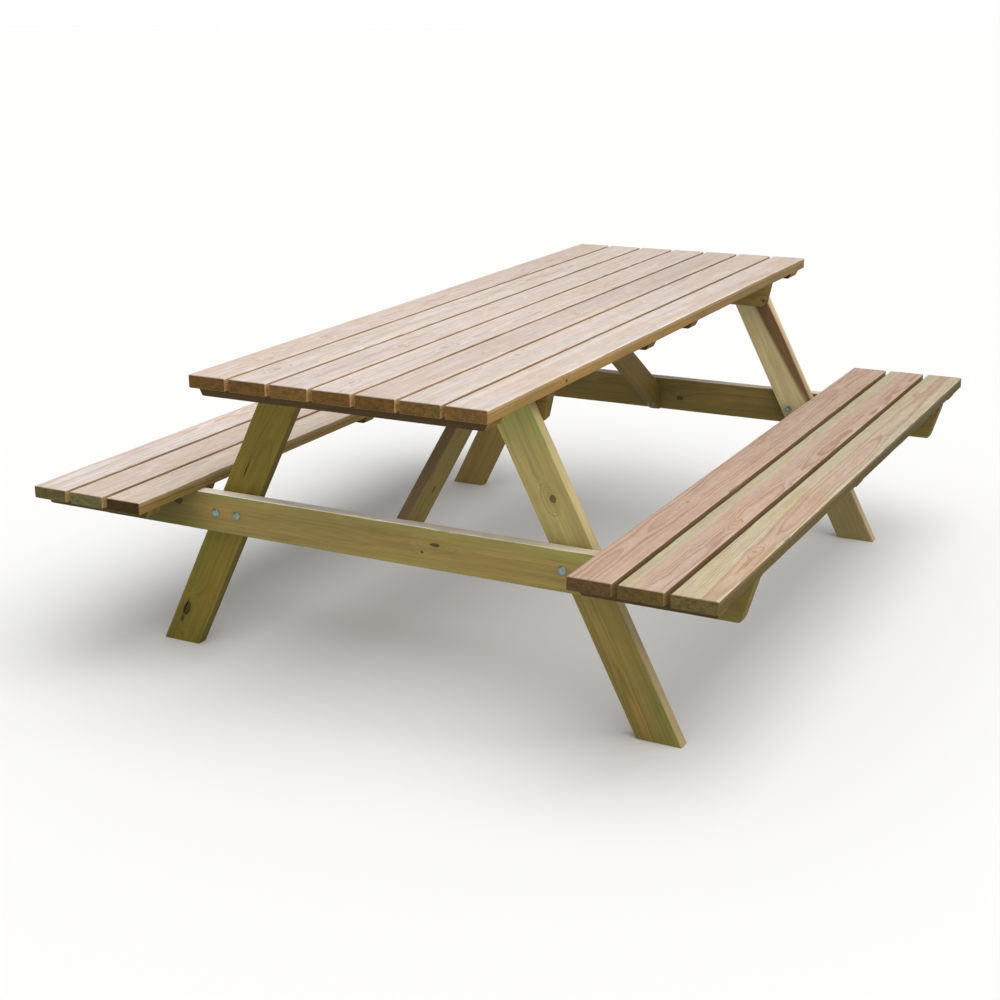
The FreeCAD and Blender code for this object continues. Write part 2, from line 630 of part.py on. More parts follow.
# Carriage bolts with washers and nuts join the legs to the crossbeams.
first_x = LEG_BOLT_X + " - dim.bolt_pitch / 2"
bolt_rows = [("X_Axis", "dim.bolt_pitch", 2)]
both_ways = ["YZ_Plane", "XZ_Plane"]

body = new_body("carriage_bolts")
shank = "dim.bolt_dia / 2"
first = turned(body, "carriage_bolt", "XY_Plane", (first_x, "-dim.beam_face", BEAM_MID),
               [("dim.bolt_cap / 2", "-0.8"), ("dim.bolt_cap / 2", "0"), (shank, "0"),
                (shank, "dim.bolt_long - 1"), (shank + " - 1", "dim.bolt_long"),
                ("0", "dim.bolt_long"), ("0", "-dim.bolt_cap_high")], dome=True)
repeat(body, "carriage_bolt_set", [first], bolt_rows, both_ways)
check_count(body, 8)

body = new_body("carriage_bolt_washers")
sketch = new_sketch(body, "washer_profile", "XZ_Plane")
for key, expression in zip(("x", "y", "z"), upright(first_x, "-" + LEG_INNER, BEAM_MID)):
    sketch.setExpression("AttachmentOffset.Base." + key, expression)
circles(sketch, [("0", "0")], "dim.washer_dia")
circles(sketch, [("0", "0")], "dim.bolt_dia")
first = pad(body, sketch, "dim.washer_thick", symmetric=False, flip=True)
repeat(body, "washer_set", [first], bolt_rows, both_ways)
check_count(body, 8)

body = new_body("carriage_bolt_nuts")
sketch = new_sketch(body, "nut_profile", "XZ_Plane")
place = upright(first_x, "-%s + dim.washer_thick" % LEG_INNER, BEAM_MID)
for key, expression in zip(("x", "y", "z"), place):
    sketch.setExpression("AttachmentOffset.Base." + key, expression)
corner = "dim.nut_flats / sqrt(3)"
flat = "dim.nut_flats / 2"
outline(sketch, [(corner, "0"), (corner + " / 2", flat), ("-%s / 2" % corner, flat),
                 ("-" + corner, "0"), ("-%s / 2" % corner, "-" + flat),
                 (corner + " / 2", "-" + flat)])
circles(sketch, [("0", "0")], "dim.bolt_dia")
first = pad(body, sketch, "dim.nut_high", symmetric=False, flip=True)
repeat(body, "nut_set", [first], bolt_rows, both_ways)
check_count(body, 8)

# ---------------------------------------------------------------- checks and export
doc.recompute()
for item in doc.Objects:
    if "Invalid" in item.State or "Error" in item.State:
        raise RuntimeError("%s did not build" % item.Name)

os.makedirs("parts", exist_ok=True)
for body in parts:
    shape = body.Shape
    if shape.isNull() or not shape.isValid():
        raise RuntimeError("%s has a bad shape" % body.Label)
    shape.exportStep("parts/%s.step" % body.Label)
print("%d parts written" % len(parts))
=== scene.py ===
import functools
import json
import math
import random

import bmesh
import bpy
import numpy as np
from mathutils import Matrix, Vector, noise


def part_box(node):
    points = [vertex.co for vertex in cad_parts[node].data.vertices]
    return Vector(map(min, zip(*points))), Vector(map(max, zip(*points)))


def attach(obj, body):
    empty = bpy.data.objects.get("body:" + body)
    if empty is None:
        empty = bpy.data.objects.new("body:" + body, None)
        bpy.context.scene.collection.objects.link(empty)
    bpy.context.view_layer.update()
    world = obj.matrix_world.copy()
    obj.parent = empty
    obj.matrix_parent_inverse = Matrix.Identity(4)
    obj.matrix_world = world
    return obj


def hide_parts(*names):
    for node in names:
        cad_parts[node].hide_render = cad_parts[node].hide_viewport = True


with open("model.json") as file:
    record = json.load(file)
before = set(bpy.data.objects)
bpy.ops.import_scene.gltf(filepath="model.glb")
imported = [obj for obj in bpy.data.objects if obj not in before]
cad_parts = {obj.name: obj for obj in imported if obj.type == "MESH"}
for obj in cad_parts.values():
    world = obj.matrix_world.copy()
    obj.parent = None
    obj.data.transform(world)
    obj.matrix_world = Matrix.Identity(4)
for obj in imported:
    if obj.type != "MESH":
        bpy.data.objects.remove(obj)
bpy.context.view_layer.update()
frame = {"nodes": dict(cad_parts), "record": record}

NODES = frame["nodes"]
SLOT_OF = {s["node"]: s["material_slot"] for s in frame["record"]["subparts"]}
SCENE = bpy.context.scene
MM = 0.001


# ---------------------------------------------------------------- camera, light and floor

def make_camera():
    """The view from off the table's near right corner, at eye height."""
    data = bpy.data.cameras.new("camera")
    data.lens, data.sensor_width = 59.02, 36.0
    data.shift_x, data.shift_y = 0.05, -0.04
    data.clip_start, data.clip_end = 0.05, 200.0
    camera = bpy.data.objects.new("camera", data)
    forward = Vector((-0.4710, 0.8374, -0.2772)).normalized()
    up = Vector((-0.1211, 0.2499, 0.9607))
    right = forward.cross(up).normalized()
    up = right.cross(forward)
    camera.matrix_world = Matrix.Translation((1.7956, -3.7014, 1.5347)) @ Matrix(
        (right, up, -forward)).transposed().to_4x4()
    SCENE.collection.objects.link(camera)
    SCENE.camera = camera


def make_light():
    """Soft light from all round with a wide sun overhead, as under a bright overcast sky."""
    world = bpy.data.worlds.new("studio")
    world.use_nodes = True
    t = Tree(world.node_tree)
    height = t.split(t.add("TexCoord").outputs["Generated"])[2]
    sky = world.node_tree.nodes["Background"]
    t.plug(sky.inputs["Strength"], t.smooth(height, 0.05, 0.45, 1.0, 0.46))
    sky.inputs["Color"].default_value = (1.0, 1.0, 1.0, 1.0)
    SCENE.world = world
    sun = bpy.data.lights.new("wide_sun", "SUN")
    sun.energy, sun.angle, sun.color = 2.35, math.radians(70), (1.0, 0.995, 0.98)
    lamp = bpy.data.objects.new("wide_sun", sun)
    towards_sun = Vector((0.45, -0.15, 1.0))
    lamp.rotation_euler = (-towards_sun).to_track_quat("-Z", "Y").to_euler()
    SCENE.collection.objects.link(lamp)
    SCENE.view_settings.view_transform = "Standard"


def make_floor():
    """A pale floor that reaches past the edge of the view."""
    mesh = bpy.data.meshes.new("floor")
    reach = 60.0
    mesh.from_pydata([(-reach, -reach, 0), (reach, -reach, 0), (reach, reach, 0), (-reach, reach, 0)],
                     [], [(0, 1, 2, 3)])
    floor = bpy.data.objects.new("floor", mesh)
    SCENE.collection.objects.link(floor)
    material = bpy.data.materials.new("pale_floor")
    material.use_nodes = True
    shader = material.node_tree.nodes["Principled BSDF"]
    shader.inputs["Base Color"].default_value = (0.86, 0.86, 0.855, 1.0)
    shader.inputs["Roughness"].default_value = 0.9
    shader.inputs["Specular IOR Level"].default_value = 0.1
    mesh.materials.append(material)


# ---------------------------------------------------------------- shader nodes as expressions

class Tree:
    """Adds nodes to a tree; every call returns the new node's output."""

    def __init__(self, tree):
        self.tree = tree

    def add(self, kind, **settings):
        node = self.tree.nodes.new("ShaderNode" + kind)
        for key, value in settings.items():
            setattr(node, key, value)
        return node

    def plug(self, socket, value):
        if isinstance(value, bpy.types.NodeSocket):
            self.tree.links.new(value, socket)
        elif isinstance(value, (tuple, list, Vector)) and len(socket.default_value) == 4:
            socket.default_value = tuple(value) + (1.0,) * (4 - len(value))
        else:
            socket.default_value = value

    def math(self, operation, *values, clamp=False):
        node = self.add("Math", operation=operation, use_clamp=clamp)
        for socket, value in zip(node.inputs, values):
            self.plug(socket, value)
        return node.outputs[0]

    def vector(self, operation, *values, scale=None):
        node = self.add("VectorMath", operation=operation)
        for socket, value in zip(node.inputs, values):
            self.plug(socket, value)
        if scale is not None:
            self.plug(node.inputs["Scale"], scale)
        return node.outputs["Value" if operation in ("DOT_PRODUCT", "LENGTH") else "Vector"]

    def join(self, x, y, z):
        node = self.add("CombineXYZ")
        for socket, value in zip(node.inputs, (x, y, z)):
            self.plug(socket, value)
        return node.outputs[0]

    def split(self, value):
        node = self.add("SeparateXYZ")
        self.plug(node.inputs[0], value)
        return node.outputs

    def smooth(self, value, low, high, start=0.0, end=1.0):
        node = self.add("MapRange", interpolation_type="SMOOTHSTEP")
        for socket, item in zip(node.inputs, (value, low, high, start, end)):
            self.plug(socket, item)
        return node.outputs[0]

    def noise(self, place, scale, detail=2.0, rough=0.5, w=0.0):
        """Noise from 0 to 1, its detail stretched by scale, a number per axis."""
        node = self.add("TexNoise", noise_dimensions="4D")
        self.plug(node.inputs["Vector"], self.vector("MULTIPLY", place, scale))
        self.plug(node.inputs["W"], w)
        node.inputs["Scale"].default_value = 1.0
        node.inputs["Detail"].default_value = detail
        node.inputs["Roughness"].default_value = rough
        return node.outputs["Fac"]

    def mix(self, amount, a, b, blend="MIX"):
        node = self.add("Mix", data_type="RGBA", blend_type=blend)
        self.plug(node.inputs["Factor"], amount)
        self.plug(node.inputs[6], a)
        self.plug(node.inputs[7], b)
        return node.outputs[2]

    def tint(self, amount, colour, factor):
        """A colour, multiplied by the factor where amount is 1."""
        return self.mix(amount, colour, self.mix(1.0, colour, factor, "MULTIPLY"))

    def times(self, a, b, clamp=False):
        return self.math("MULTIPLY", a, b, clamp=clamp)

    def plus(self, a, b):
        return self.math("ADD", a, b)

    def minus(self, a, b):
        return self.math("SUBTRACT", a, b)

    def about(self, value, size):
        """A value from 0 to 1, made to swing about zero."""
        return self.times(self.minus(value, 0.5), size)

    def bell(self, value):
        return self.math("EXPONENT", self.times(self.times(value, value), -1.0))


def new_group(name, inputs, outputs):
    group = bpy.data.node_groups.new(name, "ShaderNodeTree")
    for label, kind in inputs:
        group.interface.new_socket(label, in_out="INPUT", socket_type="NodeSocket" + kind)
    for label, kind in outputs:
        group.interface.new_socket(label, in_out="OUTPUT", socket_type="NodeSocket" + kind)
    return Tree(group), group.nodes.new("NodeGroupInput"), group.nodes.new("NodeGroupOutput")


# Radians of ring pattern for each metre from a knot's middle: a ring every 1.5 mm.
KNOT_RING_PHASE = 4200.0

# What a colour of the wood is multiplied by, where something changes it.
LATEWOOD, END_LATEWOOD = (0.62, 0.45, 0.32), (0.52, 0.46, 0.38)
COPPER, RUST = (0.62, 0.86, 0.70), (1.16, 0.95, 0.86)
TOP_BLEACHED, TOP_WARM = (0.985, 1.02, 1.09), (0.97, 0.925, 0.86)
END_DRY, END_DAMP = (1.30, 1.18, 1.06), (0.78, 0.88, 0.78)
# undersides darker and greener: partly unbleached wood, partly painted shade; edges paler: partly wear,
# partly painted highlight
UNDERSIDE_UNBLEACHED_AND_SHADE, WORN_EDGE_AND_HIGHLIGHT = (0.46, 0.52, 0.48), (1.55, 1.45, 1.35)
KNOT_PALE, KNOT_DARK, KNOT_RIM = (0.40, 0.32, 0.27), (0.26, 0.20, 0.17), (0.30, 0.24, 0.18)


def knot_group():
    """One knot: a branch of the tree that crosses the board, and the grain that swells round it."""
    t, given, made = new_group(
        "knot",
        [("Grain", "Vector"), ("Centre", "Vector"), ("Axis", "Vector"), ("Radius", "Float"),
         ("Stretch", "Float"), ("Lift", "Float"), ("Seed", "Float")],
        [("Bulge", "Float"), ("Core", "Float"), ("Rim", "Float"), ("Rings", "Float")])
    g = given.outputs
    out = t.vector("SUBTRACT", g["Grain"], g["Centre"])
    along = t.vector("DOT_PRODUCT", out, g["Axis"])
    side = t.vector("SUBTRACT", out, t.vector("SCALE", g["Axis"], scale=along))
    x, y, z = t.split(side)
    across = t.plus(t.times(y, y), t.times(z, z))
    grit = t.noise(g["Grain"], (90.0, 140.0, 140.0), 2.0, 0.6, g["Seed"])
    ragged = t.about(grit, t.times(g["Radius"], 0.9))
    near = t.math("DIVIDE", x, g["Stretch"])
    dist = t.math("SQRT", t.plus(across, t.times(near, near)))
    dist = t.plus(dist, ragged)

    # the grain swells in a wider and longer bell round the knot
    far = t.math("DIVIDE", near, 2.1)
    wide = t.math("SQRT", t.plus(across, t.times(far, far)))
    ratio = t.math("DIVIDE", wide, t.math("MULTIPLY_ADD", g["Radius"], 1.7, 0.004))
    t.plug(made.inputs["Bulge"], t.times(t.bell(ratio), g["Lift"]))

    share = t.math("DIVIDE", dist, g["Radius"])
    t.plug(made.inputs["Core"], t.smooth(share, 0.86, 1.06, 1.0, 0.0))
    bark = t.math("DIVIDE", t.minus(share, 0.96), 0.13)
    t.plug(made.inputs["Rim"], t.bell(bark))
    ring = t.math("SINE", t.times(dist, KNOT_RING_PHASE))
    t.plug(made.inputs["Rings"], t.math("MULTIPLY_ADD", ring, 0.5, 0.5))
    return t.tree


def pine_group():
    """Pine sawn from a log: growth rings round a pith beside the board, heartwood, sapwood, fibres, copper
    stain, end grain, upper faces bleached by the sun and partly a painted sky sheen, undersides darkened
    partly by painted shade, and pale edges that are partly wear and partly painted highlight."""
    t, given, made = new_group(
        "pine",
        [("Grain", "Vector"), ("Pith", "Vector"), ("Lean", "Vector"), ("Gap", "Float"),
         ("Heart radius", "Float"), ("Seed", "Float"), ("Bulge", "Float"), ("Core", "Float"),
         ("Rim", "Float"), ("Rings", "Float"), ("End", "Float"), ("Top", "Float"), ("Under", "Float"),
         ("Edge", "Float"), ("Heart", "Color"), ("Sap", "Color"), ("Top heart", "Color"),
         ("Top sap", "Color"), ("End grain", "Color"), ("Figure", "Float"), ("Stain", "Float")],
        [("Color", "Color"), ("Roughness", "Float"), ("Height", "Float")])
    g = given.outputs
    grain, seed = g["Grain"], g["Seed"]
    x, y, z = t.split(grain)

    def speckle(scale, shift, detail=2.0, rough=0.5):
        return t.noise(grain, scale, detail, rough, t.plus(seed, shift))

    def swing(scale, size, shift, detail=2.0):
        return t.about(speckle(scale, shift, detail), size)

    # growth rings
    lean = t.vector("MULTIPLY", g["Lean"], t.join(x, x, x))
    pith = t.vector("ADD", g["Pith"], lean)
    _, pith_y, pith_z = t.split(pith)
    dy = t.math("SUBTRACT", t.math("SUBTRACT", y, pith_y), swing((1.3, 2.0, 2.0), 0.030, 3.0))
    dz = t.math("SUBTRACT", t.math("SUBTRACT", z, pith_z), swing((1.6, 2.0, 2.0), 0.026, 9.0))
    radius = t.math("SQRT", t.math("ADD", t.math("MULTIPLY", dy, dy), t.math("MULTIPLY", dz, dz)))
    radius = t.math("ADD", radius, swing((6.0, 38.0, 38.0), 0.0060, 17.0, 3.0))
    radius = t.math("SUBTRACT", radius, g["Bulge"])
    count = t.math("DIVIDE", radius, g["Gap"])
    uneven = t.noise(t.join(count, seed, 0.0), (0.45, 1.0, 1.0), 1.0, 0.5, 2.0)
    count = t.math("MULTIPLY_ADD", uneven, 2.2, count)
    share = t.math("FRACT", count)
    late = t.math("MULTIPLY", t.smooth(share, 0.25, 0.88), t.smooth(share, 0.93, 1.0, 1.0, 0.0))
    white = t.add("TexWhiteNoise", noise_dimensions="2D")
    t.plug(white.inputs["Vector"], t.join(t.math("FLOOR", count), seed, 0.0))
    late = t.math("MULTIPLY", late, t.math("MULTIPLY_ADD", white.outputs["Value"], 0.8, 0.2))

    # heartwood inside, sapwood outside
    border = t.math("SUBTRACT", radius, g["Heart radius"])
    border = t.math("ADD", border, swing((2.2, 30.0, 30.0), 0.018, 31.0, 3.0))
    sap = t.smooth(border, -0.008, 0.009)

    fibre = speckle((22.0, 850.0, 850.0), 0.0, 3.0, 0.6)
    streak = speckle((3.2, 130.0, 130.0), 5.0, 3.0, 0.55)
    blotch = speckle((2.6, 11.0, 11.0), 7.0, 4.0, 0.6)
    patch = speckle((7.0, 34.0, 34.0), 11.0, 3.0, 0.6)
    pores = speckle((500.0, 900.0, 900.0), 0.0, 2.0, 0.7)

    def shade(heart, sapwood, strength, ripple, marbling):
        """The two woods, with darker latewood, lengthwise streaks and wider clouds."""
        wood = t.mix(sap, heart, sapwood)
        dark = t.times(t.times(late, g["Figure"]), strength, clamp=True)
        wood = t.tint(dark, wood, LATEWOOD)
        level = t.plus(1.0, t.about(streak, ripple))
        level = t.plus(level, t.about(fibre, 0.42))
        level = t.plus(level, t.about(patch, marbling))
        return t.vector("SCALE", wood, scale=t.plus(level, t.about(blotch, marbling)))

    body = shade(g["Heart"], g["Sap"], 0.85, 0.55, 0.55)
    # copper treatment leaves green clouds in the sapwood, and round the knots
    cloud = t.times(t.smooth(blotch, 0.48, 0.68), t.math("MULTIPLY_ADD", sap, 0.7, 0.3))
    near_knot = t.smooth(g["Bulge"], 0.003, 0.016)
    cloud = t.times(t.math("MAXIMUM", cloud, near_knot), g["Stain"], clamp=True)
    body = t.tint(t.times(cloud, 0.7), body, COPPER)
    body = t.tint(t.times(t.smooth(patch, 0.52, 0.70), 0.45), body, RUST)

    # upper faces, bleached and flecked by the weather; their paleness is partly a painted sky sheen
    ripple = t.times(g["Figure"], 0.45)
    top = shade(g["Top heart"], g["Top sap"], 0.66, ripple, 0.19)
    top = t.tint(t.smooth(patch, 0.42, 0.62), top, TOP_BLEACHED)
    weather = speckle((28.0, 75.0, 75.0), 19.0, 4.0, 0.65)
    top = t.vector("SCALE", top, scale=t.plus(1.0, t.about(weather, 0.42)))
    top = t.tint(t.smooth(blotch, 0.50, 0.66), top, TOP_WARM)

    # end grain, rough from the saw, with dry and damp patches
    saw = speckle((260.0, 260.0, 260.0), 0.0, 3.0, 0.7)
    damp = speckle((60.0, 60.0, 110.0), 13.0, 3.0, 0.65)
    ends = t.tint(t.times(late, 0.6), g["End grain"], END_LATEWOOD)
    ends = t.tint(t.smooth(damp, 0.42, 0.66), ends, END_DRY)
    ends = t.tint(t.smooth(damp, 0.52, 0.36), ends, END_DAMP)
    ends = t.vector("SCALE", ends, scale=t.math("MULTIPLY_ADD", saw, 1.1, 0.45))

    wood = t.mix(g["Top"], body, top)
    # undersides darker and greener, partly unbleached wood and partly painted shade
    wood = t.tint(t.times(g["Under"], 0.8), wood, UNDERSIDE_UNBLEACHED_AND_SHADE)
    wood = t.mix(g["End"], wood, ends)
    # pale edges along the arrises: partly wear, partly painted highlight
    worn = t.times(g["Edge"], t.smooth(patch, 0.30, 0.55))
    worn = t.times(worn, t.math("MULTIPLY_ADD", g["Top"], -0.85, 1.0))
    wood = t.tint(t.times(worn, 0.75), wood, WORN_EDGE_AND_HIGHLIGHT)

    # knots, paler where the sun reaches
    knot = t.mix(g["Rings"], t.mix(1.0, wood, KNOT_PALE, "MULTIPLY"), t.mix(1.0, wood, KNOT_DARK, "MULTIPLY"))
    fade = t.math("MULTIPLY_ADD", g["Top"], -0.62, 0.9)
    wood = t.mix(t.times(g["Core"], fade), wood, knot)
    wood = t.tint(t.times(g["Rim"], t.times(fade, 0.7)), wood, KNOT_RIM)
    t.plug(made.inputs["Color"], wood)

    rough = t.math("MULTIPLY_ADD", late, -0.08, 0.64)
    rough = t.plus(rough, t.about(fibre, 0.16))
    rough = t.plus(rough, t.times(g["End"], 0.22))
    rough = t.minus(rough, t.times(g["Core"], 0.14))
    t.plug(made.inputs["Roughness"], rough)

    # relief, in metres; the pores are open in the end grain
    height = t.times(fibre, 0.00022)
    height = t.plus(height, t.times(late, 0.00016))
    height = t.plus(height, t.times(streak, 0.00030))
    open_pores = t.math("MULTIPLY_ADD", g["End"], 0.0006, 0.00004)
    height = t.plus(height, t.times(pores, open_pores))
    height = t.minus(height, t.times(g["Rim"], 0.0005))
    t.plug(made.inputs["Height"], height)
    return t.tree


# ---------------------------------------------------------------- one material for each board

def board_axes(node):
    """The board's middle, its grain, width and thickness directions, and its half sizes."""
    mesh = NODES[node].data
    sums = {}
    for face in mesh.polygons:
        n = face.normal
        if max(n, key=abs) < 0:
            n = -n
        key = tuple(round(c, 1) + 0.0 for c in n)
        sums.setdefault(key, [0.0, Vector((0, 0, 0))])
        sums[key][0] += face.area
        sums[key][1] += n * face.area
    ranked = [s[1].normalized() for s in sorted(sums.values(), key=lambda s: -s[0])]
    through = ranked[0]
    across = next(n for n in ranked if abs(n.dot(through)) < 0.2)
    across = (across - through * across.dot(through)).normalized()
    along = across.cross(through).normalized()
    points = np.array([v.co for v in mesh.vertices])
    axes = np.array([along, across, through])
    local = points @ axes.T
    middle = Vector(axes.T @ ((local.min(0) + local.max(0)) / 2))
    half = (local.max(0) - local.min(0)) / 2
    order = sorted((0, 1, 2), key=lambda i: -half[i])
    axes = [Vector(axes[i]) for i in order]
    if axes[0].cross(axes[1]).dot(axes[2]) < 0:
        axes[1] = -axes[1]
    return middle, axes, [half[i] for i in order]


KNOT = knot_group()
PINE = pine_group()

# Heartwood and sapwood below, the same two on upper faces, whose paleness is partly a painted sky sheen, end
# grain; figure and stain strength. The gap colour is painted light on the sides that face a gap between
# planks.
FINISH = {
    "tabletop_timber": dict(
        heart=(0.30, 0.165, 0.050), sap=(0.32, 0.20, 0.060),
        top_heart=(0.685, 0.585, 0.525), top_sap=(0.715, 0.63, 0.555),
        end=(0.125, 0.066, 0.019), gap=(0.44, 0.27, 0.11), figure=0.8, stain=0.10),
    "seat_timber": dict(
        heart=(0.102, 0.066, 0.008), sap=(0.102, 0.076, 0.010),
        top_heart=(0.565, 0.405, 0.31), top_sap=(0.545, 0.490, 0.332),
        end=(0.105, 0.072, 0.024), gap=(0.38, 0.245, 0.098), figure=1.0, stain=0.3),
    "batten_timber": dict(
        heart=(0.075, 0.045, 0.014), sap=(0.078, 0.052, 0.015),
        top_heart=(0.30, 0.22, 0.12), top_sap=(0.32, 0.25, 0.13),
        end=(0.15, 0.10, 0.030), figure=0.8, stain=0.6),
    "frame_timber": dict(
        heart=(0.29, 0.200, 0.062), sap=(0.275, 0.220, 0.066),
        top_heart=(0.66, 0.57, 0.47), top_sap=(0.68, 0.61, 0.49),
        end=(0.15, 0.105, 0.030), figure=0.55, stain=0.7),
}

# The painted light on the sides in the gaps of the right seat, which is darker than in the left one.
RIGHT_SEAT_GAP_LIGHT = (0.21, 0.135, 0.052)

# Boards coloured apart from the finish above: what differs, some of it painted light as marked. A pith is
# given as the offset from the board's middle to the heart of the log it was sawn from, in metres, with its
# drift for each metre along the board, and heart_mm as how far the heartwood reached.
OWN_TONE = {
    "tabletop_plank_1": dict(top_heart=(0.675, 0.560, 0.485), top_sap=(0.705, 0.605, 0.515)),
    "tabletop_plank_3": dict(end=(0.145, 0.082, 0.026)),
    "tabletop_plank_5": dict(top_heart=(0.650, 0.545, 0.480), top_sap=(0.680, 0.585, 0.505)),
    "tabletop_plank_6": dict(end=(0.135, 0.080, 0.024)),
    "tabletop_plank_7": dict(end=(0.143, 0.082, 0.027)),
    "left_seat_plank_outer": dict(
        top_heart=(0.72, 0.63, 0.57), top_sap=(0.73, 0.65, 0.58), end=(0.105, 0.085, 0.034)),
    "left_seat_plank_middle": dict(
        top_heart=(0.70, 0.57, 0.49), top_sap=(0.71, 0.605, 0.51), end=(0.12, 0.115, 0.050)),
    "left_seat_plank_inner": dict(
        heart=(0.25, 0.165, 0.055), sap=(0.26, 0.18, 0.060),
        top_heart=(0.69, 0.545, 0.45), top_sap=(0.70, 0.585, 0.48), end=(0.045, 0.028, 0.008)),
    "right_seat_plank_inner": dict(
        end=(0.100, 0.058, 0.026), gap=RIGHT_SEAT_GAP_LIGHT, pith=(-0.010, 0.0, -0.045), heart_mm=120),
    "right_seat_plank_middle": dict(gap=RIGHT_SEAT_GAP_LIGHT, pith=(0.030, 0.0, -0.040), heart_mm=74),
    "right_seat_plank_outer": dict(
        top_sap=(0.57, 0.495, 0.34), end=(0.118, 0.088, 0.033), gap=RIGHT_SEAT_GAP_LIGHT,
        pith=(0.012, 0.0, -0.030), drift=(-0.012, 0.0, 0.0), heart_mm=49),
    "right_leg_front": dict(
        heart=(0.44, 0.290, 0.108), sap=(0.375, 0.308, 0.113),
        top_heart=(0.53, 0.39, 0.22), top_sap=(0.54, 0.42, 0.24), stain=0.9),
    "left_leg_front": dict(
        heart=(0.215, 0.132, 0.020), sap=(0.19, 0.142, 0.020),
        top_heart=(0.40, 0.33, 0.14), top_sap=(0.40, 0.34, 0.15)),
    "right_leg_rear": dict(
        heart=(0.17, 0.10, 0.045), sap=(0.60, 0.50, 0.26),
        top_heart=(0.58, 0.43, 0.25), top_sap=(0.60, 0.46, 0.27),
        pith=(0.060, -0.015, 0.0), drift=(-0.10, 0.0, 0.0), heart_mm=22),
    # painted light: the front beam's upper face is near white, though it lies in the tabletop's shade
    "crossbeam_front": dict(
        heart=(0.29, 0.213, 0.066), sap=(0.28, 0.238, 0.070),
        top_heart=(0.95, 0.85, 0.74), top_sap=(0.96, 0.88, 0.76), figure=0.3),
    "crossbeam_rear": dict(heart=(0.19, 0.140, 0.040), sap=(0.20, 0.158, 0.044)),
    "diagonal_brace_front": dict(
        heart=(0.29, 0.165, 0.070), sap=(0.22, 0.165, 0.045),
        top_heart=(0.27, 0.185, 0.10), top_sap=(0.27, 0.20, 0.105), under=0.45),
    "diagonal_brace_rear": dict(
        heart=(0.20, 0.115, 0.022), sap=(0.18, 0.120, 0.028),
        top_heart=(0.27, 0.185, 0.10), top_sap=(0.27, 0.20, 0.105), under=0.25),
    "top_rail_front": dict(heart=(0.20, 0.130, 0.036), sap=(0.19, 0.140, 0.036)),
}

# The side of each outermost plank that faces no gap: 1 towards +X, -1 towards -X.
OPEN_SIDE = {
    "tabletop_plank_1": -1, "tabletop_plank_7": 1,
    "left_seat_plank_outer": -1, "left_seat_plank_inner": 1,
    "right_seat_plank_inner": -1, "right_seat_plank_outer": 1,
}

# Boards that grow darker or change tone from one place to another, much of it painted shade as marked: part
# of the name, upper (bleached) faces or the others, world axis, where the change starts and ends, and what
# the colour is multiplied by.
SHADE_AND_TINTS = [
    # painted shade: the planks and seats darker towards the far end
    ("tabletop_plank", "top", 1, -0.4, 0.95, (0.89, 0.87, 0.85)),
    ("tabletop_plank", "body", 1, -0.5, 0.7, (0.66, 0.70, 0.78)),
    ("seat_plank", "top", 1, -0.5, 0.95, (0.88, 0.87, 0.87)),
    ("right_seat_plank_outer", "body", 1, -0.5, 0.5, (0.70, 0.74, 0.80)),
    # painted shade: the leg darker lower down, beneath the seat
    ("right_leg_front", "body", 2, 0.47, 0.27, (0.64, 0.61, 0.44)),
    ("right_leg_front", "body", 2, 0.58, 0.70, (0.84, 0.97, 0.84)),
    # painted shade: the beam darker at both ends, beneath the seats
    ("crossbeam_front", "body", 0, -0.42, -0.56, (0.72, 0.72, 0.62)),
    ("crossbeam_front", "body", 0, -0.50, -0.64, (0.50, 0.56, 0.46)),
    ("crossbeam_front", "body", 0, 0.60, 0.72, (0.55, 0.58, 0.42)),
    # the beam's upper face darker towards +X
    ("crossbeam_front", "top", 0, -0.05, 0.35, (0.58, 0.57, 0.50)),
    ("right_leg_rear", "body", 2, 0.44, 0.30, (0.50, 0.48, 0.40)),
    ("diagonal_brace_rear", "body", 2, 0.45, 0.33, (0.70, 0.75, 0.60)),
    ("diagonal_brace_rear", "body", 2, 0.52, 0.66, (0.42, 0.50, 0.42)),
]

# Knots that show: where each is on the object, in metres, its radius in mm, how far the grain swells
# round it in mm, and how much longer it is than wide.
SHOWN_KNOTS = {
    "right_leg_front": [((0.382, -0.753, 0.505), 7, 20, 1.2)],
    "left_leg_front": [((-0.606, -0.753, 0.089), 10, 16, 2.0), ((-0.622, -0.753, 0.060), 4, 6, 2.2)],
    "crossbeam_front": [((0.113, -0.783, 0.371), 4, 14, 3.4), ((0.080, -0.783, 0.350), 3, 3, 1.2),
                        ((-0.587, -0.783, 0.376), 8, 12, 1.5)],
    "crossbeam_rear": [((0.077, 0.753, 0.351), 7, 11, 1.4)],
    "tabletop_plank_2": [((-0.218, -0.874, 0.75), 6, 11, 1.3)],
    "tabletop_plank_4": [((-0.006, -0.915, 0.75), 5, 10, 1.3), ((0.004, -0.529, 0.75), 7, 13, 1.2)],
    "tabletop_plank_5": [((0.110, -0.548, 0.75), 5, 9, 1.4), ((0.110, -0.049, 0.75), 8, 14, 1.2)],
    "tabletop_plank_7": [((0.361, -0.643, 0.732), 4, 12, 1.4)],
    "top_rail_rear": [((0.342, 0.693, 0.673), 4, 8, 1.2)],
    "diagonal_brace_front": [((0.015, -0.614, 0.437), 3, 4, 4.0)],
}


